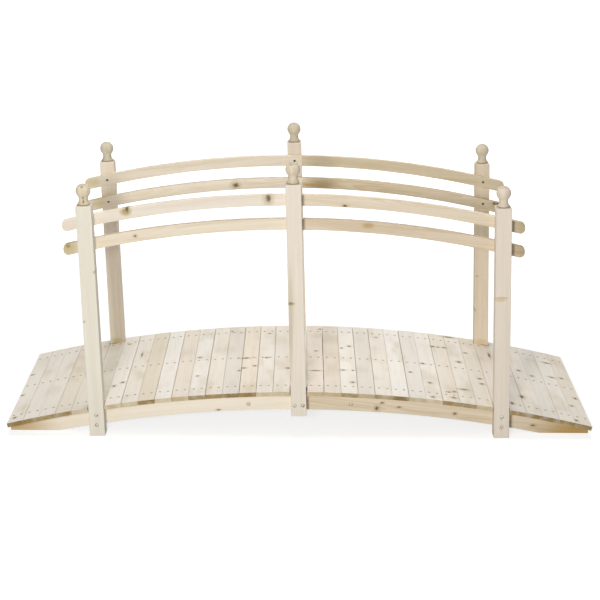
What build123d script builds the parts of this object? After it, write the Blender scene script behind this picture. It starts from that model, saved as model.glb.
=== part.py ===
# Arched wooden garden bridge with two railings of three posts each.
# Millimetres. X runs along the bridge, Y across it, Z up. The origin is on the ground
# under the crown of the arch, midway between the railings. "Near" is the -Y side,
# "far" the +Y side, "left" the -X end and "right" the +X end.
import os
from math import asin, cos, degrees, radians, sin, sqrt, tan

from build123d import *

# deck
deck_length = 2300
deck_width = 840
deck_crown = 188
deck_radius = 4834
board_thickness = 17
board_gap = 1.3
short_board_slot = 66.6
board_edge_round = 1.5
board_wander = 0.3
end_run_count = 5
span_run_count = 11
short_board_count = 1

# arched bearers under the deck
stringer_thickness = 40
stringer_crown_bottom = 94
stringer_bottom_radius = 4850
stringer_end_setback = 6
stringer_butt_gap = 1
splice_length = 500
splice_thickness = 35

# posts, which have racked slightly towards the left end
railing_lean = 1.66
post_size = 60
post_length = 928
post_spacing = 794
middle_post_foot = 88
post_proud_of_deck = 2
post_top_round = 6
post_edge_round = 2.5

# turned ball caps
finial_ball_diameter = 56
finial_ball_centre = 53
finial_neck_diameter = 35
finial_neck_height = 21
finial_foot_diameter = 47
finial_foot_height = 6
finial_spigot_diameter = 10
finial_spigot_length = 25

# rails
rail_height = 45
rail_thickness = 23
rail_radius = 3655
rail_below_post_top = 50.6
rail_spacing = 94.5
rail_span = 1770
rail_end_round = 18
rail_edge_round = 2.5

# fasteners
bolt_diameter = 8
bolt_head_diameter = 16
bolt_head_height = 4.5
bolt_head_round = 3.5
washer_diameter = 20
washer_thickness = 1.6
nut_across_flats = 13
nut_height = 6.5
bolt_tail = 4
end_post_bolt_spacing = 43
middle_post_bolt_spacing = 32
splice_bolt_spacing = 404
splice_bolt_rise = 26
centre_bolt_spacing = 120
screw_recess_diameter = 10
screw_recess_depth = 3.5
hole_clearance = 0.3

# derived sizes
lean = radians(railing_lean)
deck_half_angle = asin(deck_length / 2 / deck_radius)
seat_radius = deck_radius - board_thickness
arch_centre_z = deck_crown - deck_radius
stringer_bottom_centre_z = stringer_crown_bottom - stringer_bottom_radius
post_outer_span = deck_width + 2 * post_proud_of_deck
post_inner_y = post_outer_span / 2 - post_size
post_y = post_outer_span / 2 - post_size / 2
end_post_foot = post_size / 2 * tan(lean)
stringer_inner_y = post_inner_y - stringer_thickness
splice_inner_y = stringer_inner_y - splice_thickness
stringer_end_x = deck_length / 2 - stringer_end_setback
finial_height = finial_ball_centre + finial_ball_diameter / 2
upper_rail_crown = (middle_post_foot + post_length) * cos(lean) - rail_below_post_top
rail_crowns = {"upper": upper_rail_crown, "lower": upper_rail_crown - rail_spacing}
post_lines = {"left": -post_spacing, "middle": 0, "right": post_spacing}


def seat_z(x):
    # height of the bearers' top edge above the ground
    return arch_centre_z + sqrt(seat_radius**2 - x**2)


def arch_bottom_z(x):
    # height of the bearers' lower edge above the ground
    return stringer_bottom_centre_z + sqrt(stringer_bottom_radius**2 - x**2)


def stringer_middle_z(x):
    return (seat_z(x) + arch_bottom_z(x)) / 2


def on_post(post_x, across, up):
    # a place on a leaning post's face, as x and z
    return (
        post_x + across * cos(lean) - up * sin(lean),
        across * sin(lean) + up * cos(lean),
    )


def export(piece, name):
    piece.part.label = name
    export_step(piece.part, f"parts/{name}.step")


os.makedirs("parts", exist_ok=True)

# bolt places as x and z
end_bolts = [
    on_post(x, 0, stringer_middle_z(x) + up)
    for x in (-post_spacing, post_spacing)
    for up in (-end_post_bolt_spacing / 2, end_post_bolt_spacing / 2)
]
middle_bolts = [
    on_post(0, across, stringer_middle_z(0))
    for across in (-middle_post_bolt_spacing / 2, middle_post_bolt_spacing / 2)
]
splice_bolts = [
    (x, arch_bottom_z(x) + splice_bolt_rise)
    for x in (-splice_bolt_spacing / 2, splice_bolt_spacing / 2)
]
centre_bolts = splice_bolts + [
    (x, stringer_middle_z(x)) for x in (-centre_bolt_spacing / 2, centre_bolt_spacing / 2)
]
post_bolts = {"left": end_bolts, "middle": middle_bolts, "right": end_bolts}


def drill_across(places, y):
    # bolt holes along Y through whatever is there
    with Locations(*[Location((x, y, z), (90, 0, 0)) for x, z in places]):
        Cylinder(bolt_diameter / 2 + hole_clearance, 3 * post_size, mode=Mode.SUBTRACT)


def bolts_across(places, head_y, nut_y):
    # domed bolts along Y, from the seat of the head to the seat of the washer and nut
    way = 1 if nut_y > head_y else -1
    for x, z in places:
        with BuildPart(mode=Mode.PRIVATE) as bolt:
            Cylinder(
                bolt_head_diameter / 2,
                bolt_head_height,
                align=(Align.CENTER, Align.CENTER, Align.MAX),
            )
            fillet(bolt.edges().sort_by(Axis.Z)[0], bolt_head_round)
            Cylinder(
                bolt_diameter / 2,
                abs(nut_y - head_y) + washer_thickness + nut_height + bolt_tail,
                align=(Align.CENTER, Align.CENTER, Align.MIN),
            )
            with Locations((0, 0, abs(nut_y - head_y))):
                Cylinder(
                    washer_diameter / 2,
                    washer_thickness,
                    align=(Align.CENTER, Align.CENTER, Align.MIN),
                )
            with BuildSketch(Plane.XY.offset(abs(nut_y - head_y) + washer_thickness)) as nut:
                RegularPolygon(nut_across_flats / 2, 6, major_radius=False)
            extrude(nut.sketch, amount=nut_height)
        with Locations(Location((x, head_y, z), (-90 * way, 0, 0))):
            add(bolt.part)


# arched bearers, each line in two halves that butt under the crown
stringer_lines = {
    "near": (-post_inner_y, -stringer_inner_y),
    "middle": (-stringer_thickness / 2, stringer_thickness / 2),
    "far": (stringer_inner_y, post_inner_y),
}
line_bolts = {
    "near": end_bolts + middle_bolts + splice_bolts,
    "middle": centre_bolts,
    "far": end_bolts + middle_bolts + splice_bolts,
}
for line, (y_low, y_high) in stringer_lines.items():
    for end, side in (("left", -1), ("right", 1)):
        with BuildPart() as stringer:
            with BuildSketch(Plane.XZ.offset(-y_high)):
                with Locations((0, arch_centre_z)):
                    Circle(seat_radius)
                with Locations((0, stringer_bottom_centre_z)):
                    Circle(stringer_bottom_radius, mode=Mode.SUBTRACT)
                x_low = stringer_butt_gap / 2
                with Locations((side * (x_low + stringer_end_x) / 2, deck_crown / 2)):
                    Rectangle(stringer_end_x - x_low, deck_crown, mode=Mode.INTERSECT)
            extrude(amount=y_high - y_low)
            drill_across(line_bolts[line], (y_low + y_high) / 2)
        export(stringer, f"stringer_{line}_{end}")

# splice boards bolted over the butt joints, on the hidden side of each bearer
splice_lines = {
    "near": (-stringer_inner_y, -splice_inner_y),
    "middle": (stringer_thickness / 2, stringer_thickness / 2 + splice_thickness),
    "far": (splice_inner_y, stringer_inner_y),
}
for line, (y_low, y_high) in splice_lines.items():
    with BuildPart() as splice:
        with BuildSketch(Plane.XZ.offset(-y_high)):
            with Locations((0, arch_centre_z)):
                Circle(seat_radius)
            with Locations((0, stringer_bottom_centre_z)):
                Circle(stringer_bottom_radius, mode=Mode.SUBTRACT)
            with Locations((0, deck_crown / 2)):
                Rectangle(splice_length, deck_crown, mode=Mode.INTERSECT)
        extrude(amount=splice_thickness)
        drill_across(line_bolts[line], (y_low + y_high) / 2)
    export(splice, f"splice_{line}")

# deck boards; the ones in line with posts are cut short to end against them, and the
# boards between share the length that is left, with slightly uneven gaps
slot_angle = short_board_slot / deck_radius
post_angles = [
    asin((x - seat_z(x) * tan(lean)) / (deck_radius - board_thickness / 2))
    for x in post_lines.values()
]
slot_starts = [angle - slot_angle / 2 for angle in post_angles]
slot_ends = [angle + slot_angle / 2 for angle in post_angles]
board_runs = {
    "deck_boards_01_05": (end_run_count, -deck_half_angle, slot_starts[0]),
    "deck_board_06": (short_board_count, slot_starts[0], slot_ends[0]),
    "deck_boards_07_17": (span_run_count, slot_ends[0], slot_starts[1]),
    "deck_board_18": (short_board_count, slot_starts[1], slot_ends[1]),
    "deck_boards_19_29": (span_run_count, slot_ends[1], slot_starts[2]),
    "deck_board_30": (short_board_count, slot_starts[2], slot_ends[2]),
    "deck_boards_31_35": (end_run_count, slot_ends[2], deck_half_angle),
}
for name, (count, start, end) in board_runs.items():
    board_length = 2 * post_inner_y if count == short_board_count else deck_width
    pitch = (end - start) / count
    gap_angle = board_gap / deck_radius
    board_width = deck_radius * pitch - board_gap
    with BuildPart() as boards:
        for number in range(count):
            wander = 0
            if count > short_board_count:
                wander = board_wander * gap_angle * sin(2.6 * number + count)
            tilt = start + (number + 0.5) * pitch + wander
            seat = Location(
                (seat_radius * sin(tilt), 0, arch_centre_z + seat_radius * cos(tilt)),
                (0, degrees(tilt), 0),
            )
            with Locations(seat):
                Box(
                    board_width,
                    board_length,
                    board_thickness,
                    align=(Align.CENTER, Align.CENTER, Align.MIN),
                )
        fillet(boards.edges().filter_by(Axis.Y), board_edge_round)
    export(boards, name)

# posts outside the bearers, with their turned ball caps; the end posts stand on the
# ground and the middle ones stop just under the bearers
ball_radius = finial_ball_diameter / 2
neck_radius = finial_neck_diameter / 2
foot_radius = finial_foot_diameter / 2
spigot_radius = finial_spigot_diameter / 2
for line, y in (("near", -post_y), ("far", post_y)):
    for place, x in post_lines.items():
        foot = middle_post_foot if place == "middle" else end_post_foot
        base = Location((x, y, 0), (0, -railing_lean, 0))
        with BuildPart() as post:
            with Locations(base * Location((0, 0, foot))):
                Box(
                    post_size,
                    post_size,
                    post_length,
                    align=(Align.CENTER, Align.CENTER, Align.MIN),
                )
            long_edges = post.edges().filter_by(lambda edge: edge.length > post_length - 1)
            fillet(long_edges, post_edge_round)
            fillet(post.faces().sort_by(Axis.Z)[-1].edges(), post_top_round)
            drill_across(post_bolts[place], y)
            with Locations(base * Location((0, 0, foot + post_length))):
                Cylinder(
                    spigot_radius + hole_clearance,
                    2 * finial_spigot_length,
                    mode=Mode.SUBTRACT,
                )
        export(post, f"post_{line}_{place}")
        with BuildPart(mode=Mode.PRIVATE) as turning:
            with BuildSketch(Plane.XZ):
                with BuildLine():
                    spigot = Polyline(
                        (0, -finial_spigot_length),
                        (spigot_radius, -finial_spigot_length),
                        (spigot_radius, 0),
                        (foot_radius, 0),
                        (foot_radius, finial_foot_height),
                    )
                    neck = Spline(
                        spigot @ 1,
                        (neck_radius, finial_neck_height),
                        (
                            ball_radius * sin(radians(50)),
                            finial_ball_centre - ball_radius * cos(radians(50)),
                        ),
                        tangents=((-1, 0.8), (cos(radians(50)), sin(radians(50)))),
                    )
                    ball = ThreePointArc(
                        neck @ 1,
                        (ball_radius, finial_ball_centre),
                        (0, finial_height),
                    )
                    Line(ball @ 1, spigot @ 0)
                make_face()
            revolve(axis=Axis.Z)
        with BuildPart() as finial:
            with Locations(base * Location((0, 0, foot + post_length))):
                add(turning.part)
        export(finial, f"finial_{line}_{place}")

# curved rails on the posts' inner faces, in halves with a half-lap at the middle post,
# with a recess for the one screw that holds each rail to each post
for level, crown in rail_crowns.items():
    middle_z = crown - rail_height / 2
    rail_shift = -middle_z * tan(lean)
    screw_places = []
    for x in post_lines.values():
        drop = rail_radius - sqrt(rail_radius**2 - x**2)
        screw_places.append((x - (middle_z - drop) * tan(lean), middle_z - drop))
    for line, y_sign in (("near", -1), ("far", 1)):
        inner_y = y_sign * (post_inner_y - rail_thickness)
        for end, side in (("left", -1), ("right", 1)):
            keeps_inner_layer = side == -y_sign
            cut_y = post_inner_y - rail_thickness * (0.25 if keeps_inner_layer else 0.75)
            reach = (rail_span + post_size) / 2
            with BuildPart() as rail:
                y_middle = y_sign * (post_inner_y - rail_thickness / 2)
                with BuildSketch(Plane.XZ.offset(-y_middle - rail_thickness / 2)):
                    with Locations((rail_shift, crown - rail_radius)):
                        Circle(rail_radius)
                        Circle(rail_radius - rail_height, mode=Mode.SUBTRACT)
                    x_middle = rail_shift + side * (rail_span - post_size) / 4
                    with Locations((x_middle, crown)):
                        Rectangle(reach, rail_radius / 2, mode=Mode.INTERSECT)
                extrude(amount=rail_thickness)
                across = rail.edges().filter_by(Axis.Y).group_by(Axis.X)
                fillet(across[-1] if side > 0 else across[0], rail_end_round)
                joint_x = rail_shift - side * post_size / 2
                outline = [
                    edge
                    for face in rail.faces().filter_by(Axis.Y)
                    for edge in face.edges()
                    if abs(edge.center().X - joint_x) > 1
                ]
                fillet(outline, rail_edge_round)
                with Locations((rail_shift, y_sign * cut_y, middle_z)):
                    Box(post_size, rail_thickness / 2, 2 * rail_height, mode=Mode.SUBTRACT)
                with Locations(*[Location((x, inner_y, z), (90, 0, 0)) for x, z in screw_places]):
                    Cylinder(
                        screw_recess_diameter / 2,
                        2 * screw_recess_depth,
                        mode=Mode.SUBTRACT,
                    )
            export(rail, f"rail_{level}_{line}_{end}")

# bolts that clamp the posts and the splice boards to the bearers
for line, y_sign in (("near", -1), ("far", 1)):
    with BuildPart() as bolts:
        head_y = y_sign * post_outer_span / 2
        bolts_across(end_bolts, head_y, y_sign * stringer_inner_y)
        bolts_across(middle_bolts, head_y, y_sign * splice_inner_y)
    export(bolts, f"post_bolts_{line}")
with BuildPart() as splice_set:
    bolts_across(splice_bolts, -post_inner_y, -splice_inner_y)
    bolts_across(splice_bolts, post_inner_y, splice_inner_y)
    bolts_across(centre_bolts, -stringer_thickness / 2, stringer_thickness / 2 + splice_thickness)
export(splice_set, "splice_bolts")
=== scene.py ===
# Arched wooden garden bridge, dressed in Blender over its construction model.
# Metres, +Z up, +X along the bridge, -Y the near side. Sections follow the order in which
# the bridge is put together: arched bearers, deck boards, posts and caps, rails, fixings.
import math

import bpy
import numpy as np
from mathutils import Matrix, Vector


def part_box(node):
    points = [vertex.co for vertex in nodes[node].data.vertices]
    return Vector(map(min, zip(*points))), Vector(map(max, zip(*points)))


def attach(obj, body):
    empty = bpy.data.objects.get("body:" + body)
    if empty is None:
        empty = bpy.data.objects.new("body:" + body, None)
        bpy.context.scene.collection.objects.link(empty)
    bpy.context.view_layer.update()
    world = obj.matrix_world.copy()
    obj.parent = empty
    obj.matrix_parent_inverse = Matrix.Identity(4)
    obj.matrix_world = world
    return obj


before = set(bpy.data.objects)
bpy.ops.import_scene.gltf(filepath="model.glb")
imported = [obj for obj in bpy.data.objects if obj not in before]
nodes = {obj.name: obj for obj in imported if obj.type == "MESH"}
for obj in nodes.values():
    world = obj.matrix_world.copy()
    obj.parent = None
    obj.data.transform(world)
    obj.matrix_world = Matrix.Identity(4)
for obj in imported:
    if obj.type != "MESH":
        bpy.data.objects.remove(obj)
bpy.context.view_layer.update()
scene = bpy.context.scene
scene.view_settings.view_transform = "Standard"


# Arched bearers: three lines of sawn fir on edge, each of two halves cut from wide boards,
# so the straight grain runs out along the curve, with a short board bolted behind each joint.
# The left halves are paler than the right.

# Their timber, and that of every piece after them, is unfinished fir: almost white when new,
# with faint orange late-wood lines, broad greyer bands, small dark knots and browner end
# grain. Fibres and rings are drawn a few times coarser than real ones, which would not show.
fibre_width, fibre_length = 0.0024, 0.11
ring_spacing = 0.0038
band_width, band_length = 0.018, 0.62
drift_width, drift_length = 0.11, 0.45
grit_size, end_mottle = 0.0035, 0.033
sway_width, sway_length, sway_reach = 0.167, 0.91, 0.05
knot_spacing, knot_spacing_along = 0.11, 0.2
least_knot, largest_knot = 0.035, 0.11
ring_push_at_knot = 0.006
pith_spread, pith_from = (0.12, 0.03, 0.0), (-0.06, -0.075, 0.0)
board_shift = (7.3, 5.1, 9.7)
out_of_sight = 50.0
grain_depth = 0.0006
ring_share, banding_share, fibre_share, drift_share, halo_share = (0.14, 0.55), 0.45, 0.16, 0.35, 0.42
halo_colour, heart_colour, end_ring_colour = "#B39A60", "#574325", "#8A6B3F"


def linear(hex_code):
    parts = [int(hex_code[i:i + 2], 16) / 255 for i in (1, 3, 5)]
    return tuple(c / 12.92 if c <= 0.04045 else ((c + 0.055) / 1.055) ** 2.4 for c in parts) + (1.0,)


def put(tree, kind, inputs=(), out=0, **settings):
    """Adds a node with its settings, fills its inputs in order or by name with values or
    sockets, and gives one of its output sockets. A Mix of colours has its share at input 0,
    its colours at 6 and 7 and what comes of them at output 2."""
    node = tree.nodes.new("ShaderNode" + kind)
    for key, value in settings.items():
        setattr(node, key, value)
    for key, value in inputs.items() if isinstance(inputs, dict) else enumerate(inputs):
        if isinstance(value, bpy.types.NodeSocket):
            tree.links.new(value, node.inputs[key])
        else:
            node.inputs[key].default_value = value
    return node.outputs[out] if node.outputs else None


fir = bpy.data.node_groups.new("planed_softwood", "ShaderNodeTree")
for label, kind in (
        ("Place", "Vector"), ("Axis", "Vector"), ("Seed", "Float"), ("Pale", "Color"), ("Late", "Color"),
        ("Cut", "Color"), ("Figure", "Float"), ("Knots", "Float"), ("Marked", "Float"), ("Dark", "Float")):
    fir.interface.new_socket(label, in_out="INPUT", socket_type="NodeSocket" + kind)
for label, kind in (("Colour", "Color"), ("Height", "Float"), ("Rough", "Float")):
    fir.interface.new_socket(label, in_out="OUTPUT", socket_type="NodeSocket" + kind)
given = fir.nodes.new("NodeGroupInput").outputs
made = fir.nodes.new("NodeGroupOutput").inputs
chance = put(fir, "TexWhiteNoise", {"W": given["Seed"]}, "Color", noise_dimensions="1D")
shift = put(fir, "VectorMath", (chance, board_shift), operation="MULTIPLY")
place = put(fir, "VectorMath", (given["Place"], shift), operation="ADD")
# soft noises in the board's own frame, each with cells of one width across and one length along
grain = {}
for label, width, length, detail, rough in (
        ("grit", grit_size, grit_size * 1.6, 1.0, 0.5), ("sway", sway_width, sway_length, 2.0, 0.5),
        ("fibre", fibre_width, fibre_length, 3.0, 0.6), ("band", band_width, band_length, 3.0, 0.55),
        ("drift", drift_width, drift_length, 2.0, 0.5), ("end", end_mottle, end_mottle, 2.0, 0.5)):
    cells = put(fir, "VectorMath", (place, (1 / width, 1 / width, 1 / length)), operation="MULTIPLY")
    noise = put(fir, "TexNoise", {"Vector": cells, "Scale": 1.0, "Detail": detail, "Roughness": rough})
    grain[label] = noise.node.outputs
# knots: rare cells along the board, each filled by a share of its size, and the listed ones,
# all with a ragged edge, a dark heart and a soft halo
stretched = put(fir, "VectorMath", (place, (1 / knot_spacing, 1 / knot_spacing, 1 / knot_spacing_along)),
                operation="MULTIPLY")
cell = put(fir, "TexVoronoi", {"Vector": stretched, "Scale": 1.0, "Randomness": 1.0}).node.outputs
rank = put(fir, "SeparateColor", (cell["Color"],)).node.outputs
knot_size = put(fir, "MapRange", (rank[1], 0.0, 1.0, least_knot, largest_knot))
knot_missed = put(fir, "Math", (rank[0], given["Knots"]), operation="GREATER_THAN")
knot_near = put(fir, "Math", (cell["Distance"], knot_size), operation="DIVIDE")
knot_near = put(fir, "Math", (knot_missed, out_of_sight, knot_near), operation="MULTIPLY_ADD")
knot_near = put(fir, "Math", (knot_near, given["Marked"]), operation="MINIMUM")
ragged = put(fir, "Math", (grain["grit"][0], 1.6, -0.8), operation="MULTIPLY_ADD")
knot_near = put(fir, "Math", (knot_near, ragged), operation="ADD")
knot_heart = put(fir, "MapRange", (knot_near, 1.15, 0.45), interpolation_type="SMOOTHSTEP")
knot_halo = put(fir, "MapRange", (knot_near, 2.7, 0.8), interpolation_type="SMOOTHSTEP")
# annual rings round a pith that lies off to one side of the board: each darkens slowly and
# ends at once, and they bend round the knots
sway = put(fir, "VectorMath", (grain["sway"][1], (0.5, 0.5, 0.5)), operation="SUBTRACT")
sway = put(fir, "VectorMath", (sway, (sway_reach, sway_reach, 0.0), given["Place"]),
           operation="MULTIPLY_ADD")
pith = put(fir, "VectorMath", (chance, pith_spread, pith_from), operation="MULTIPLY_ADD")
off_pith = put(fir, "VectorMath", (sway, pith), operation="SUBTRACT")
off_pith = put(fir, "VectorMath", (off_pith, (1.0, 1.0, 0.0)), operation="MULTIPLY")
ring_place = put(fir, "VectorMath", (off_pith,), "Value", operation="LENGTH")
ring_place = put(fir, "Math", (knot_halo, ring_push_at_knot, ring_place), operation="MULTIPLY_ADD")
ring_turn = put(fir, "Math", (ring_place, 1 / ring_spacing), operation="MULTIPLY")
ring_turn = put(fir, "Math", (ring_turn,), operation="FRACT")
ring_rise = put(fir, "MapRange", (ring_turn, 0.15, 0.8), interpolation_type="SMOOTHSTEP")
ring_fall = put(fir, "MapRange", (ring_turn, 1.0, 0.88), interpolation_type="SMOOTHSTEP")
ring = put(fir, "Math", (ring_rise, ring_fall), operation="MULTIPLY")
# fibres, broad bands and slow tone drift along the board
fibre, band, drift = (grain[label][0] for label in ("fibre", "band", "drift"))
figure = put(fir, "MapRange", (band, 0.3, 0.7, *ring_share), interpolation_type="SMOOTHSTEP")
figure = put(fir, "Math", (ring, figure), operation="MULTIPLY")
banding = put(fir, "MapRange", (band, 0.35, 0.75, 0.0, banding_share), interpolation_type="SMOOTHSTEP")
figure = put(fir, "Math", (figure, banding), operation="ADD")
figure = put(fir, "Math", (figure, given["Figure"]), operation="MULTIPLY")
colour = put(fir, "Mix", {0: figure, 6: given["Pale"], 7: given["Late"]}, 2, data_type="RGBA")
fibre_mark = put(fir, "MapRange", (fibre, 0.3, 0.8, 0.0, fibre_share), interpolation_type="SMOOTHSTEP")
colour = put(fir, "Mix", {0: fibre_mark, 6: colour, 7: given["Late"]}, 2, data_type="RGBA",
             blend_type="MULTIPLY")
between = put(fir, "Mix", {0: 0.5, 6: given["Pale"], 7: given["Late"]}, 2, data_type="RGBA")
drifting = put(fir, "MapRange", (drift, 0.35, 0.7, 0.0, drift_share), interpolation_type="SMOOTHSTEP")
colour = put(fir, "Mix", {0: drifting, 6: colour, 7: between}, 2, data_type="RGBA")
halo = put(fir, "Math", (knot_halo, halo_share), operation="MULTIPLY")
colour = put(fir, "Mix", {0: halo, 6: colour, 7: linear(halo_colour)}, 2, data_type="RGBA")
heart = put(fir, "Math", (knot_heart, given["Dark"]), operation="MULTIPLY")
colour = put(fir, "Mix", {0: heart, 6: colour, 7: linear(heart_colour)}, 2, data_type="RGBA")
# end grain shows where the face looks along the grain
look = put(fir, "NewGeometry", out="Normal")
facing = put(fir, "VectorMath", (look, given["Axis"]), "Value", operation="DOT_PRODUCT")
facing = put(fir, "Math", (facing,), operation="ABSOLUTE")
end_face = put(fir, "MapRange", (facing, 0.6, 0.9), interpolation_type="SMOOTHSTEP")
end_tone = put(fir, "MapRange", (grain["end"][0], 0.35, 0.7, 0.0, 0.3), interpolation_type="SMOOTHSTEP")
end_ring = put(fir, "Math", (ring, 0.4), operation="MULTIPLY")
end_colour = put(fir, "Mix", {0: end_ring, 6: given["Cut"], 7: linear(end_ring_colour)}, 2,
                 data_type="RGBA")
end_colour = put(fir, "Mix", {0: end_tone, 6: end_colour, 7: given["Pale"]}, 2, data_type="RGBA")
colour = put(fir, "Mix", {0: end_face, 6: colour, 7: end_colour}, 2, data_type="RGBA")
fir.links.new(colour, made["Colour"])
# late wood and fibres stand a little proud and knots have sunk, and the fibres set the sheen
height = put(fir, "Math", (ring, 0.4, 0.0), operation="MULTIPLY_ADD")
height = put(fir, "Math", (fibre, 0.6, height), operation="MULTIPLY_ADD")
height = put(fir, "Math", (knot_heart, -0.8, height), operation="MULTIPLY_ADD")
fir.links.new(height, made["Height"])
fir.links.new(put(fir, "MapRange", (fibre, 0.2, 0.8, 0.52, 0.68)), made["Rough"])


def from_spot(tree, here, middle, half):
    """Distance from a spot's middle, counted in its half sizes, where 0 stands for right through."""
    scale = tuple(1 / size if size else 0.0 for size in half)
    away = put(tree, "VectorMath", (here, middle), operation="SUBTRACT")
    away = put(tree, "VectorMath", (away, scale), operation="MULTIPLY")
    return put(tree, "VectorMath", (away,), "Value", operation="LENGTH")


def softwood(name, colours, axis, place_of, seed, figure=0.8, knots=0.12, dark=0.85, marked=(), stains_and_shade=()):
    """A material of the fir above. colours are its pale wood, late wood and cut end, and axis
    the way of its grain. place_of(tree, here) gives the point as across, through and along,
    the board's own seed or None, its tint, and its own end colour or None. seed picks the
    stretch of the pattern, figure says how strong it is, knots how many of the rare cells
    hold one, and dark how dark a heart is. marked lists the knots that show on this piece and
    stains_and_shade its clouds of another colour, real stains and on some pieces painted shade,
    each as a middle and half sizes along X, Y and Z."""
    material = bpy.data.materials.new(name)
    material.use_nodes = True
    tree = material.node_tree
    tree.nodes.clear()
    here = put(tree, "TexCoord", out="Object")
    where, own_seed, tint, own_cut = place_of(tree, here)
    nearest = out_of_sight
    for middle, half in marked:
        nearest = put(tree, "Math", (from_spot(tree, here, middle, half), nearest), operation="MINIMUM")
    # clouds of another colour: real stains, and on some pieces painted shade
    for (middle, half), hex_code in stains_and_shade:
        near = put(tree, "MapRange", (from_spot(tree, here, middle, half), 1.0, 0.2),
                   interpolation_type="SMOOTHSTEP")
        tint = put(tree, "Mix", {0: near, 6: tint, 7: linear(hex_code)}, 2, data_type="RGBA")
    if own_seed:
        seed = put(tree, "Math", (own_seed, seed), operation="ADD")
    pale, late, cut = (linear(colour) for colour in colours)
    wood = put(tree, "Group", {
        "Place": where, "Axis": axis, "Seed": seed, "Pale": pale, "Late": late, "Cut": own_cut or cut,
        "Figure": figure, "Knots": knots, "Marked": nearest, "Dark": dark}, node_tree=fir).node.outputs
    colour = put(tree, "Mix", {0: 1.0, 6: wood["Colour"], 7: tint}, 2, data_type="RGBA",
                 blend_type="MULTIPLY")
    bump = put(tree, "Bump", {"Height": wood["Height"], "Strength": 0.25, "Distance": grain_depth})
    surface = put(tree, "BsdfPrincipled", {"Base Color": colour, "Roughness": wood["Rough"],
                                           "Specular IOR Level": 0.3, "Normal": bump})
    put(tree, "OutputMaterial", {"Surface": surface})
    return material


def turned(angle_deg, origin):
    """Point from the origin in a frame whose long axis is X turned up by the angle: across is
    Z turned with it, and through is Y."""
    a = math.radians(angle_deg)
    ways = (-math.sin(a), 0, math.cos(a)), (0, 1, 0), (math.cos(a), 0, math.sin(a))

    def place_of(tree, here):
        here = put(tree, "VectorMath", (here, origin), operation="SUBTRACT")
        across, through, along = (
            put(tree, "VectorMath", (here, way), "Value", operation="DOT_PRODUCT") for way in ways)
        return put(tree, "CombineXYZ", (across, through, along)), None, linear("#FFFFFF"), None

    return place_of


def on_face(x, z, wide, tall):
    """Middle and half sizes of a spot on a face along the bridge, from millimetres."""
    return (x / 1000, 0.0, z / 1000), (wide / 1000, 0.0, tall / 1000)


def dress(name, material):
    mesh = nodes[name].data
    mesh.materials.clear()
    mesh.materials.append(material)


bearer_row, bearer_middle, bearer_height, splice_height = 0.342, 0.5, 0.11, 0.12
bearer_rise = {"left": 6.5, "right": -6.5}
bearer_colours = {"left": ("#F9F0E0", "#F0E2CA", "#B79662"), "right": ("#EBDDC5", "#D1BC98", "#B79662")}
splice_colours = ("#E3D3B2", "#C8AC7A", "#B79662")
bearer_knots = {("near", "left"): ((-321, 90, 7, 3),),
                ("near", "right"): ((326, 123, 7, 4), (305, 101, 9, 8), (392, 105, 8, 3),
                                    (614, 80, 7, 5), (925, 32, 8, 4))}
bearer_stains = {"left": [(on_face(-1150, 10, 230, 100), "#DACAA9")],
                 "right": [(on_face(1150, 10, 300, 110), "#D4BB81")]}
for line, y in (("near", -bearer_row), ("middle", 0.0), ("far", bearer_row)):
    for end, side in (("left", -1), ("right", 1)):
        a = math.radians(bearer_rise[end])
        dress(f"stringer_{line}_{end}", softwood(
            f"sawn_fir_bearer_{line}_{end}", bearer_colours[end], (math.cos(a), 0, math.sin(a)),
            turned(bearer_rise[end], (side * bearer_middle, y, bearer_height)), seed=3.0 + side + y * 10,
            figure=0.85, knots=0.1, stains_and_shade=bearer_stains[end],
            marked=[on_face(*spot) for spot in bearer_knots.get((line, end), ())]))
    dress(f"splice_{line}", softwood(
        f"sawn_fir_splice_{line}", splice_colours, (1, 0, 0), turned(0, (0, y, splice_height)),
        seed=11.0 + y * 10))

# Deck boards: planed fir laid across the bearers, each its own board with its own tint,
# some greyer, some pinker or yellower. The cut ends are browner than the faces, and a few
# are almost as pale.
deck_radius, deck_centre, deck_reach = 4.834, -4.646, 1.15
bearer_top_radius, board_middle_radius = 4.817, 4.8255
post_reach, slot_width = 0.794, 0.0666
lean = math.radians(1.66)
deck_half = math.asin(deck_reach / deck_radius)
half_slot = slot_width / deck_radius / 2
seat = deck_centre + math.sqrt(bearer_top_radius ** 2 - post_reach ** 2)
left_post, middle_post, right_post = (
    math.asin((x - z * math.tan(lean)) / board_middle_radius)
    for x, z in ((-post_reach, seat), (0.0, deck_centre + bearer_top_radius), (post_reach, seat)))
runs = {"deck_boards_01_05": (5, -deck_half, left_post - half_slot),
        "deck_board_06": (1, left_post - half_slot, left_post + half_slot),
        "deck_boards_07_17": (11, left_post + half_slot, middle_post - half_slot),
        "deck_board_18": (1, middle_post - half_slot, middle_post + half_slot),
        "deck_boards_19_29": (11, middle_post + half_slot, right_post - half_slot),
        "deck_board_30": (1, right_post - half_slot, right_post + half_slot),
        "deck_boards_31_35": (5, right_post + half_slot, deck_half)}
nail_offset = 0.016
nail_stain_reach, nail_stain_heart, nail_stain_colour = 0.008, 0.003, "#A3978A"
board_colours = ("#F8F4EC", "#EAE0D0", "#B99B66")
plain_tints = ("#FFFFFF", "#F7F2EB")
board_tints = {(4,): "#F7F1E7", (9,): "#F0EADD", (11, 19, 30): "#F8F1EA", (15,): "#F8F0E5",
               (14, 22): "#EFECE7", (6,): "#FAF7EF", (25, 31, 33): "#F5F3F1", (20,): "#F1EAE1"}
cloud_cells, cloud_colour = (11.0, 11.0, 5.0), "#EAE4D9"
pale_ended = (5, 7, 8, 10, 11, 16, 17, 19, 20, 22, 25, 26, 29)
pale_end, brown_ends = "#DACBA4", ("#AD965F", "#8F7843")
seed_step, tint_seed = 1.37, 5.5


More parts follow.
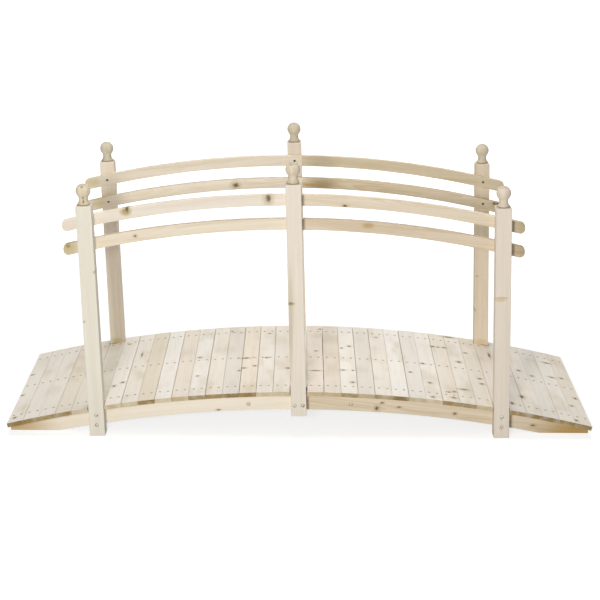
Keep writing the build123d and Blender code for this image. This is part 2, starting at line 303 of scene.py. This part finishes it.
def on_deck(first, count, start, end):
    """Place, seed, tint and cut end on each board of a run, which fills an even share of its
    angle round the deck's centre."""
    half_pitch = (end - start) / count * deck_radius / 2

    def place_of(tree, here):
        x, y, z = put(tree, "SeparateXYZ", (here,)).node.outputs
        up = put(tree, "Math", (z, deck_centre), operation="SUBTRACT")
        angle = put(tree, "Math", (x, up), operation="ARCTAN2")
        turn = put(tree, "MapRange", (angle, start, end, 0.0, float(count)), clamp=False)
        before = put(tree, "Math", (turn,), operation="FLOOR")
        board = put(tree, "Math", (before, float(first)), operation="ADD")
        across = put(tree, "Math", (turn, before), operation="SUBTRACT")
        across = put(tree, "MapRange", (across, 0.0, 1.0, -half_pitch, half_pitch))
        out = put(tree, "CombineXYZ", (x, 0.0, up))
        out = put(tree, "VectorMath", (out,), "Value", operation="LENGTH")
        through = put(tree, "Math", (out, deck_radius), operation="SUBTRACT")
        where = put(tree, "CombineXYZ", (across, through, y))
        own = put(tree, "Math", (board, seed_step), operation="MULTIPLY")
        lot = put(tree, "Math", (own, tint_seed), operation="ADD")
        lot = put(tree, "TexWhiteNoise", {"W": lot}, "Color", noise_dimensions="1D")
        lots = put(tree, "SeparateColor", (lot,)).node.outputs
        found = {}
        for boards in (pale_ended, *board_tints):
            found[boards] = 0.0
            for number in boards:
                if first <= number < first + count:
                    same = put(tree, "Math", (board, float(number), 0.5), operation="COMPARE")
                    found[boards] = put(tree, "Math", (same, found[boards]), operation="MAXIMUM")
        tint = put(tree, "Mix", {0: lots[0], 6: linear(plain_tints[0]), 7: linear(plain_tints[1])}, 2,
                   data_type="RGBA")
        for boards, hex_code in board_tints.items():
            tint = put(tree, "Mix", {0: found[boards], 6: tint, 7: linear(hex_code)}, 2, data_type="RGBA")
        # weathering has left faint grey and pink clouds that differ from board to board
        cloud = put(tree, "VectorMath", (where, cloud_cells), operation="MULTIPLY")
        cloud = put(tree, "TexNoise", {"Vector": cloud, "Scale": 1.0, "W": own}, noise_dimensions="4D")
        cloud = put(tree, "MapRange", (cloud, 0.48, 0.72, 0.0, 0.7), interpolation_type="SMOOTHSTEP")
        tint = put(tree, "Mix", {0: cloud, 6: tint, 7: linear(cloud_colour)}, 2, data_type="RGBA",
                   blend_type="MULTIPLY")
        # each nail has crushed and stained the wood round its head
        nail_across = put(tree, "Math", (across,), operation="ABSOLUTE")
        nail_across = put(tree, "Math", (nail_across, nail_offset), operation="SUBTRACT")
        row = put(tree, "Math", (y,), operation="ABSOLUTE")
        outer_row = put(tree, "Math", (row, bearer_row), operation="SUBTRACT")
        outer_row = put(tree, "Math", (outer_row,), operation="ABSOLUTE")
        nail_along = put(tree, "Math", (row, outer_row), operation="MINIMUM")
        nail = put(tree, "CombineXYZ", (nail_across, nail_along, 0.0))
        nail = put(tree, "VectorMath", (nail,), "Value", operation="LENGTH")
        nail = put(tree, "MapRange", (nail, nail_stain_reach, nail_stain_heart, 0.0, 0.6),
                   interpolation_type="SMOOTHSTEP")
        tint = put(tree, "Mix", {0: nail, 6: tint, 7: linear(nail_stain_colour)}, 2, data_type="RGBA")
        brown = put(tree, "Mix", {0: lots[1], 6: linear(brown_ends[0]), 7: linear(brown_ends[1])}, 2,
                    data_type="RGBA")
        cut = put(tree, "Mix", {0: found[pale_ended], 6: brown, 7: linear(pale_end)}, 2, data_type="RGBA")
        return where, own, tint, cut

    return place_of


def on_top(along, across, long, wide):
    """Middle and half sizes of a spot on the deck, from millimetres along and across the
    bridge, drawn a fifth wider than given."""
    x = deck_radius * math.sin(along / 1000 / deck_radius)
    return (x, across / 1000, 0.0), (long / 1000, wide / 1000 * 1.2, 0.0)


deck_knots = [on_top(*spot) for spot in (
    (-1147, 138, 8, 5), (-1149, -110, 7, 6), (-1137, -371, 7, 7), (-743, 320, 6, 5), (-672, 152, 3, 22),
    (-720, -174, 8, 7), (-753, -204, 7, 8), (-414, -192, 6, 5), (-417, 37, 8, 6), (-296, 361, 5, 5),
    (-131, 312, 7, 5), (-225, -4, 18, 6), (-137, -6, 9, 6), (-184, -104, 8, 6), (-229, -127, 10, 6),
    (-245, -157, 6, 6), (-49, -139, 8, 7), (67, 79, 6, 5), (63, -168, 20, 4), (175, -151, 10, 6),
    (216, -151, 6, 5), (208, 155, 8, 7), (175, 126, 5, 5), (210, -292, 8, 7), (328, 296, 6, 5),
    (87, 373, 7, 6), (510, 2, 9, 6), (524, -227, 7, 7), (451, -121, 6, 6), (569, 243, 9, 7),
    (593, 243, 8, 5), (619, 246, 9, 6), (710, 214, 8, 5), (669, 79, 10, 8), (652, 402, 24, 7),
    (740, -98, 8, 7), (743, -159, 8, 7), (657, -259, 20, 5), (616, -300, 8, 6), (593, -312, 9, 5),
    (608, -371, 9, 7), (524, -390, 7, 7), (816, 232, 5, 24), (928, 96, 7, 7), (979, 57, 8, 6),
    (899, -233, 9, 13), (846, -331, 8, 9), (1073, 96, 14, 5), (1116, 112, 7, 7), (1075, 281, 16, 6),
    (1140, -116, 7, 8), (1108, -221, 7, 6), (1101, -386, 7, 7))]
board_number = 1
for name, (count, start, end) in runs.items():
    marked = [knot for knot in deck_knots if start < math.asin(knot[0][0] / deck_radius) < end]
    dress(name, softwood(
        f"planed_fir_{name}", board_colours, (0, 1, 0), on_deck(board_number, count, start, end),
        seed=20.0, figure=0.55, knots=0.08, dark=0.92, marked=marked))
    board_number += count

# Posts and turned caps: 60 mm square planed fir, the near ones cleaner and paler, the far end
# ones with painted shade at the foot, where they meet the deck. On each stands a ball cap turned
# from the same timber, greyer where end grain shows, with a thin line of painted shade under it.
post_line = 0.392
post_colours = {("near", "left"): ("#EFE9DA", "#DCD0B8"), ("near", "middle"): ("#F0E7D8", "#DECDB2"),
                ("near", "right"): ("#EEE3D4", "#DCCAB2"), ("far", "left"): ("#F6EAD6", "#DDCBB0"),
                ("far", "middle"): ("#EEE0CE", "#D5C3A9"), ("far", "right"): ("#E9DBC5", "#CCB692")}
post_end = "#D6CBB6"
post_knots = {("near", "left"): ((-787, 670, 3, 4), (-831, 472, 3, 3)),
              ("near", "middle"): ((-38, 549, 9, 4),),
              ("far", "right"): ((761, 436, 4, 3), (757, 283, 4, 4))}
post_stains_and_shade = {
    # painted shade: the grey strip down the near middle post's left edge; the cloud at its knot is a stain
    ("near", "middle"): [(on_face(-38, 480, 19, 330), "#E6E4DA"), (on_face(-38, 549, 22, 10), "#D3CDB4")],
    ("near", "right"): [(on_face(772, 577, 36, 5), "#DDC8A2"), (on_face(766, 570, 34, 13), "#EFE4CF")],
    # painted shade at the far end posts' feet, where they meet the deck: a faint olive cloud with a thin
    # dark line at its bottom
    ("far", "left"): [(on_face(-798, 132, 40, 22), "#EDE6CF"), (on_face(-802, 119, 34, 7), "#857A55")],
    ("far", "right"): [(on_face(790, 134, 44, 26), "#F1EAD2"), (on_face(790, 120, 40, 7), "#857A55")]}
cap_colours = {("near", "left"): ("#ECDFC6", "#D3C2A0"), ("near", "middle"): ("#E8DCC6", "#D0BFA0"),
               ("near", "right"): ("#EADDCA", "#D2C1A8"), ("far", "left"): ("#E2D8C2", "#CBBB9B"),
               ("far", "middle"): ("#E2D8C2", "#CBBB9B"), ("far", "right"): ("#E2D8C2", "#CBBB9B")}
cap_end = "#D2C9B5"
cap_knots = {("near", "left"): ((-824, 1001, 4, 4), (-821, 958, 3, 5), (-820, 944, 3, 6)),
             ("near", "middle"): ((-37, 1091, 7, 3),)}
# a thin band of painted shade round the foot of each cap, where it sits on its post
cap_shade_reach, cap_shade_height, cap_shade_colour = 60, 4, "#A69A7E"
for line, y in (("near", -post_line), ("far", post_line)):
    for place, x in (("left", -post_reach), ("middle", 0.0), ("right", post_reach)):
        seed = 40.0 + x * 4 + y * 9
        upright = turned(90 + math.degrees(lean), (x, y, 0))
        axis = (-math.sin(lean), 0, math.cos(lean))
        dress(f"post_{line}_{place}", softwood(
            f"planed_fir_post_{line}_{place}", (*post_colours[line, place], post_end), axis, upright,
            seed, figure=0.5, knots=0.05, dark=0.4, stains_and_shade=post_stains_and_shade.get((line, place), ()),
            marked=[on_face(*spot) for spot in post_knots.get((line, place), ())]))
        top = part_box(f"post_{line}_{place}")[1][2]
        # painted shade round the cap's foot, at the top of its post
        cap_shade = on_face((x - top * math.tan(lean)) * 1000, top * 1000, cap_shade_reach, cap_shade_height)
        dress(f"finial_{line}_{place}", softwood(
            f"turned_fir_cap_{line}_{place}", (*cap_colours[line, place], cap_end), axis, upright,
            seed + 7.7, figure=0.9, knots=0.05, stains_and_shade=[(cap_shade, cap_shade_colour)],
            marked=[on_face(*spot) for spot in cap_knots.get((line, place), ())]))

# Rails: two curved boards a side, each in two halves sawn from wide boards, half-lapped at
# the middle post. The right halves on the far side are darker and yellower, and most free
# ends have weathered to an olive grey.
rail_line, rail_middle, rail_rise = 0.35, 0.45, 6.2
rail_heights = {"upper": 0.92, "lower": 0.825}
rail_colours = {"upper_near_left": ("#F2E8DA", "#DCCBB0"), "lower_near_left": ("#F0E4D0", "#DAC6A2"),
                "upper_near_right": ("#EFE1CC", "#C9B48C"), "lower_near_right": ("#E7D7C0", "#C1A77B"),
                "upper_far_left": ("#F0E5D2", "#DAC8A8"), "lower_far_left": ("#F7EBD8", "#DFCBA9"),
                "upper_far_right": ("#DECFB2", "#B8A074"), "lower_far_right": ("#F1E1C5", "#C8AF82")}
rail_end = "#BFA26C"
rail_knots = {"upper_near_left": ((-661, 906, 9, 11), (-123, 948, 12, 17)),
              "lower_near_left": ((-633, 798, 6, 5),),
              "upper_near_right": ((168, 921, 9, 5),),
              "lower_far_left": ((-275, 837, 13, 11),),
              "lower_far_right": ((820, 763, 8, 7), (835, 761, 8, 7))}
rail_stains_and_shade = {
    "upper_near_left": [(on_face(-668, 892, 30, 22), "#CFC49A")],
    "upper_near_right": [(on_face(880, 840, 110, 90), "#D6D3C2")],
    "lower_near_left": [(on_face(-890, 750, 60, 60), "#E0DCC4"), (on_face(-891, 757, 14, 12), "#BCA877")],
    "lower_near_right": [(on_face(880, 750, 110, 90), "#DAD5C2"), (on_face(258, 845, 34, 18), "#E4D6BC")],
    "upper_far_left": [(on_face(-882, 848, 46, 36), "#ECE8CF")],
    "lower_far_left": [(on_face(-862, 760, 52, 40), "#E6E3CB")],
    # partly painted shadow of the near middle post and its cap, partly darker streaky wood
    "lower_far_right": [(on_face(70, 840, 110, 18), "#EADBBB")]}
for level, z in rail_heights.items():
    for line, y in (("near", -rail_line), ("far", rail_line)):
        for end, side in (("left", -1), ("right", 1)):
            key = f"{level}_{line}_{end}"
            rise = -side * rail_rise
            a = math.radians(rise)
            dress(f"rail_{key}", softwood(
                f"sawn_fir_rail_{key}", (*rail_colours[key], rail_end), (math.cos(a), 0, math.sin(a)),
                turned(rise, (side * rail_middle, y, z)), seed=60.0 + z * 10 + y * 20 + side * 3,
                figure=0.7, knots=0.08, stains_and_shade=rail_stains_and_shade.get(key, ()),
                marked=[on_face(*spot) for spot in rail_knots.get(key, ())]))


# Fixings: zinc-plated round-headed bolts, two nails in each board at each bearer, and one
# screw sunk into each rail at each post. The plating gives a soft grey glint with a faint
# spangle; the nail and screw heads have gone dull and brown in the rain.
spangle_size, grime_size = 0.004, 0.05


def steel(name, colour, roughness, grime, patch, metal=0.9):
    """Steel whose colour drifts to that of the grime in patches of the given size. metal is
    the share of its face that is still bare metal."""
    material = bpy.data.materials.new(name)
    material.use_nodes = True
    tree = material.node_tree
    tree.nodes.clear()
    here = put(tree, "TexCoord", out="Object")
    spangle = put(tree, "TexNoise", {"Vector": here, "Scale": 1 / patch, "Detail": 2.0})
    grimy = put(tree, "MapRange", (spangle, 0.35, 0.7), interpolation_type="SMOOTHSTEP")
    tone = put(tree, "Mix", {0: grimy, 6: linear(colour), 7: linear(grime)}, 2, data_type="RGBA")
    rough = put(tree, "MapRange", (spangle, 0.3, 0.7, roughness, roughness + 0.15))
    surface = put(tree, "BsdfPrincipled", {"Base Color": tone, "Metallic": metal, "Roughness": rough})
    put(tree, "OutputMaterial", {"Surface": surface})
    return material


zinc = steel("zinc_plated_steel", "#C9C4B8", 0.32, "#7D7567", spangle_size)
nail_steel = steel("dull_nail_steel", "#82776A", 0.55, "#3A3229", grime_size)
screw_steel = steel("browned_screw_steel", "#5E4F35", 0.6, "#43361F", grime_size, metal=0.2)
for name in ("post_bolts_near", "post_bolts_far", "splice_bolts"):
    dress(name, zinc)


def piece(name, vertices, faces, material):
    mesh = bpy.data.meshes.new(name)
    mesh.from_pydata(vertices.tolist(), [], faces)
    mesh.materials.append(material)
    obj = bpy.data.objects.new(name, mesh)
    scene.collection.objects.link(obj)
    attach(obj, "root")


def heads(centres, normals, radii, low, high, sides):
    """Round heads at many places at once: three rings of the angle round each normal, at the
    foot, at half height and drawn in to 0.8 at the top, closed by a flat disc at either end."""
    centres, normals, radii = (np.asarray(values, float) for values in (centres, normals, radii))
    normals = normals / np.linalg.norm(normals, axis=1)[:, None]
    helper = np.where(np.abs(normals[:, 1:2]) > 0.7, [[1.0, 0.0, 0.0]], [[0.0, 1.0, 0.0]])
    u = np.cross(normals, helper)
    u /= np.linalg.norm(u, axis=1)[:, None]
    v = np.cross(normals, u)
    turn = np.arange(sides) * 2 * math.pi / sides
    circle = np.cos(turn)[:, None] * u[:, None] + np.sin(turn)[:, None] * v[:, None]
    rings = [centres[:, None] + draw * radii[:, None, None] * circle + rise * normals[:, None]
             for draw, rise in ((1.0, low), (1.0, (low + high) / 2), (0.8, high))]
    points = np.stack(rings, 1).reshape(-1, 3)
    base = np.arange(len(centres))[:, None] * 3 * sides
    i = np.arange(sides)
    quad = np.stack([i, np.roll(i, -1), sides + np.roll(i, -1), sides + i], 1)
    walls = (base[:, :, None] + np.concatenate([quad, quad + sides])[None]).reshape(-1, 4)
    caps = np.concatenate([base + 2 * sides + i, base + i[::-1]])
    return points, walls.tolist() + caps.tolist()


# the nails were driven by hand, so each strays a little and no two heads are quite alike
nail_radius, nail_spread = 0.0029, 0.0006
nail_foot, nail_top = -0.0008, 0.0003
nail_stray_across, nail_stray_along = 0.0025, 0.004
nail_places, nail_ways, nail_radii = [], [], []
for count, start, end in runs.values():
    for number in range(count):
        middle = start + (number + 0.5) * (end - start) / count
        for line, y in enumerate((-bearer_row, 0.0, bearer_row)):
            for side in (-1, 1):
                stray = math.sin(12.9 * number + 7.1 * line + 3.3 * side + 50 * middle)
                tilt = middle + (side * nail_offset + stray * nail_stray_across) / deck_radius
                along = y + nail_stray_along * math.sin(310 * tilt + line)
                reach = deck_radius / math.cos(tilt - middle)
                nail_places.append((reach * math.sin(tilt), along, deck_centre + reach * math.cos(tilt)))
                nail_ways.append((math.sin(middle), 0.0, math.cos(middle)))
                nail_radii.append(nail_radius + nail_spread * math.sin(77 * tilt + 5 * line))
points, faces = heads(nail_places, nail_ways, nail_radii, nail_foot, nail_top, sides=10)
piece("deck_nails", points, faces, nail_steel)

# one screw through each rail at each post, its head down in a drilled recess 10 mm wide
rail_crown, rail_depth, rail_radius, rail_step = 0.965, 0.045, 3.655, 0.0945
recess_floor, screw_head_radius, screw_head_height = 0.3425, 0.0046, 0.0016
screw_places, screw_ways = [], []
for steps_down in (0, 1):
    for x in (-post_reach, 0.0, post_reach):
        sag = rail_radius - math.sqrt(rail_radius ** 2 - x ** 2)
        z = rail_crown - steps_down * rail_step - rail_depth / 2 - sag
        for way in (-1, 1):
            screw_places.append((x - z * math.tan(lean), way * recess_floor, z))
            screw_ways.append((0, -way, 0))
screw_radii = [screw_head_radius] * len(screw_places)
points, faces = heads(screw_places, screw_ways, screw_radii, 0.0, screw_head_height, sides=16)
piece("rail_screws", points, faces, screw_steel)

# Floor, light and camera: a white studio sweep, a lamp in front and a little to the left
# with broad light from above and behind, and the camera where the photographer stood.
floor_reach, floor_drop = 40.0, 0.0005
studio_light = 0.19
shadow_reach, white_from, near_glow = 1.3, 2.6, 0.76
bounce_paint, seen_paint = "#C2C2C2", "#A8A8A8"
floor_mesh = bpy.data.meshes.new("floor")
floor_mesh.from_pydata(
    [(x * floor_reach, y * floor_reach, -floor_drop) for x, y in ((-1, -1), (1, -1), (1, 1), (-1, 1))],
    [], [(0, 1, 2, 3)])
floor = bpy.data.objects.new("floor", floor_mesh)
scene.collection.objects.link(floor)
floor_paint = bpy.data.materials.new("white_floor")
floor_paint.use_nodes = True
world = bpy.data.worlds.new("studio")
scene.world = world
world.use_nodes = True
for tree in (floor_paint.node_tree, world.node_tree):
    tree.nodes.clear()
    path = put(tree, "LightPath").node.outputs
    seen = put(tree, "Math", (path["Is Glossy Ray"], path["Is Transmission Ray"]), operation="MAXIMUM")
    seen = put(tree, "Math", (seen, path["Is Camera Ray"]), operation="MAXIMUM")
    if tree == world.node_tree:
        dim = put(tree, "Background", {"Color": (1, 1, 1, 1), "Strength": studio_light})
        bright = put(tree, "Background", {"Color": (1, 1, 1, 1), "Strength": 1.0})
        put(tree, "OutputWorld", {"Surface": put(tree, "MixShader", (seen, dim, bright))})
    else:
        # the floor glows less near the bridge, where it keeps the shadow
        from_middle = put(tree, "TexCoord", out="Object")
        from_middle = put(tree, "VectorMath", (from_middle,), "Value", operation="LENGTH")
        lift = put(tree, "MapRange", (from_middle, shadow_reach, white_from, near_glow, 1.0),
                   interpolation_type="SMOOTHSTEP")
        lift = put(tree, "Math", (lift, seen), operation="MULTIPLY")
        paint = put(tree, "Mix", {0: seen, 6: linear(bounce_paint), 7: linear(seen_paint)}, 2,
                    data_type="RGBA")
        matt = put(tree, "BsdfDiffuse", {"Color": paint})
        glow = put(tree, "Emission", {"Color": (1, 1, 1, 1), "Strength": lift})
        put(tree, "OutputMaterial", {"Surface": put(tree, "AddShader", (matt, glow))})
floor_mesh.materials.append(floor_paint)


def lamp(name, place, aim, size, power):
    data = bpy.data.lights.new(name, "AREA")
    data.shape, data.size, data.energy = "DISK", size, power
    obj = bpy.data.objects.new(name, data)
    obj.location = place
    obj.rotation_euler = (Vector(aim) - Vector(place)).to_track_quat("-Z", "Y").to_euler()
    obj.visible_camera = False
    scene.collection.objects.link(obj)


lamp("key", (-0.95, -5.9, 2.15), (0, 0, 0.5), 0.9, 207)
lamp("top", (0.0, 0.5, 7.0), (0, 0, 0.1), 5.0, 236)
lamp("back", (0.5, 5.6, 2.6), (0, 0, 0.5), 3.0, 75)

camera_place = Vector((0.00213, -6.42397, 2.40739))
focal_pixels, photo_pixels, sensor_width = 1638.77, 600, 36.0
pitch, yaw, roll = (math.radians(degrees) for degrees in (17.0713, -0.0299, 0.3142))
ahead = Vector((math.sin(yaw) * math.cos(pitch), math.cos(yaw) * math.cos(pitch), -math.sin(pitch)))
sideways = Vector((math.cos(yaw), -math.sin(yaw), 0.0))
over = sideways.cross(ahead)
right = sideways * math.cos(roll) + over * math.sin(roll)
up = over * math.cos(roll) - sideways * math.sin(roll)
camera = bpy.data.objects.new("camera", bpy.data.cameras.new("camera"))
camera.data.sensor_width = sensor_width
camera.data.lens = sensor_width * focal_pixels / photo_pixels
camera.data.clip_end = 200
camera.matrix_world = Matrix((
    (right.x, up.x, -ahead.x, camera_place.x), (right.y, up.y, -ahead.y, camera_place.y),
    (right.z, up.z, -ahead.z, camera_place.z), (0, 0, 0, 1)))
scene.collection.objects.link(camera)
scene.camera = camera
